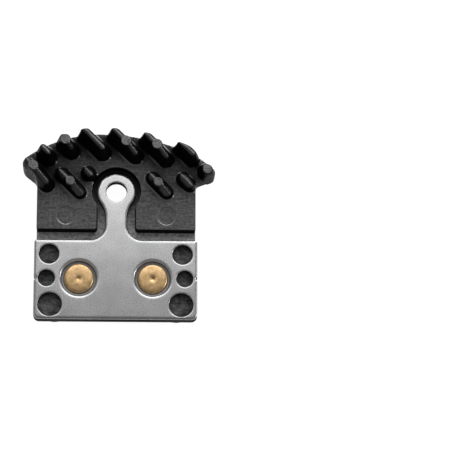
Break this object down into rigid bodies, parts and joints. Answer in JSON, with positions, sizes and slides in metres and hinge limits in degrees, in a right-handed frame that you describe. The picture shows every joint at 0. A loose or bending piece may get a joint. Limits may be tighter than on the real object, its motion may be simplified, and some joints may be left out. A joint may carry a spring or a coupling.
{
  "type": "bicycle disc brake pad",
  "caption": "Flat disc brake pad: a steel backing plate with a tab and pin eye, riveted to a black finned heat sink that carries a sintered friction block.",
  "frame": {"origin": "on the friction face, midway between the rivets", "axes": "+Z from the friction face through the pad to its piston side, +Y along the tab towards the pin eye and the fins, +X along the plate"},
  "size_m": [0.0377, 0.037, 0.011],
  "materials": {
    "stamped_steel": "satin, fine blasted grain",
    "black_casting": "matt black coating on a die casting",
    "carrier_steel": "dull grey",
    "sintered_friction": "speckled, ground",
    "rivet_brass": "brushed"
  },
  "bodies": {
    "root": {"backing_plate": "stamped_steel", "heat_sink": "black_casting", "carrier_plate": "carrier_steel", "friction_block": "sintered_friction", "rivet_left": "rivet_brass", "rivet_right": "rivet_brass"}
  },
  "joints": []
}
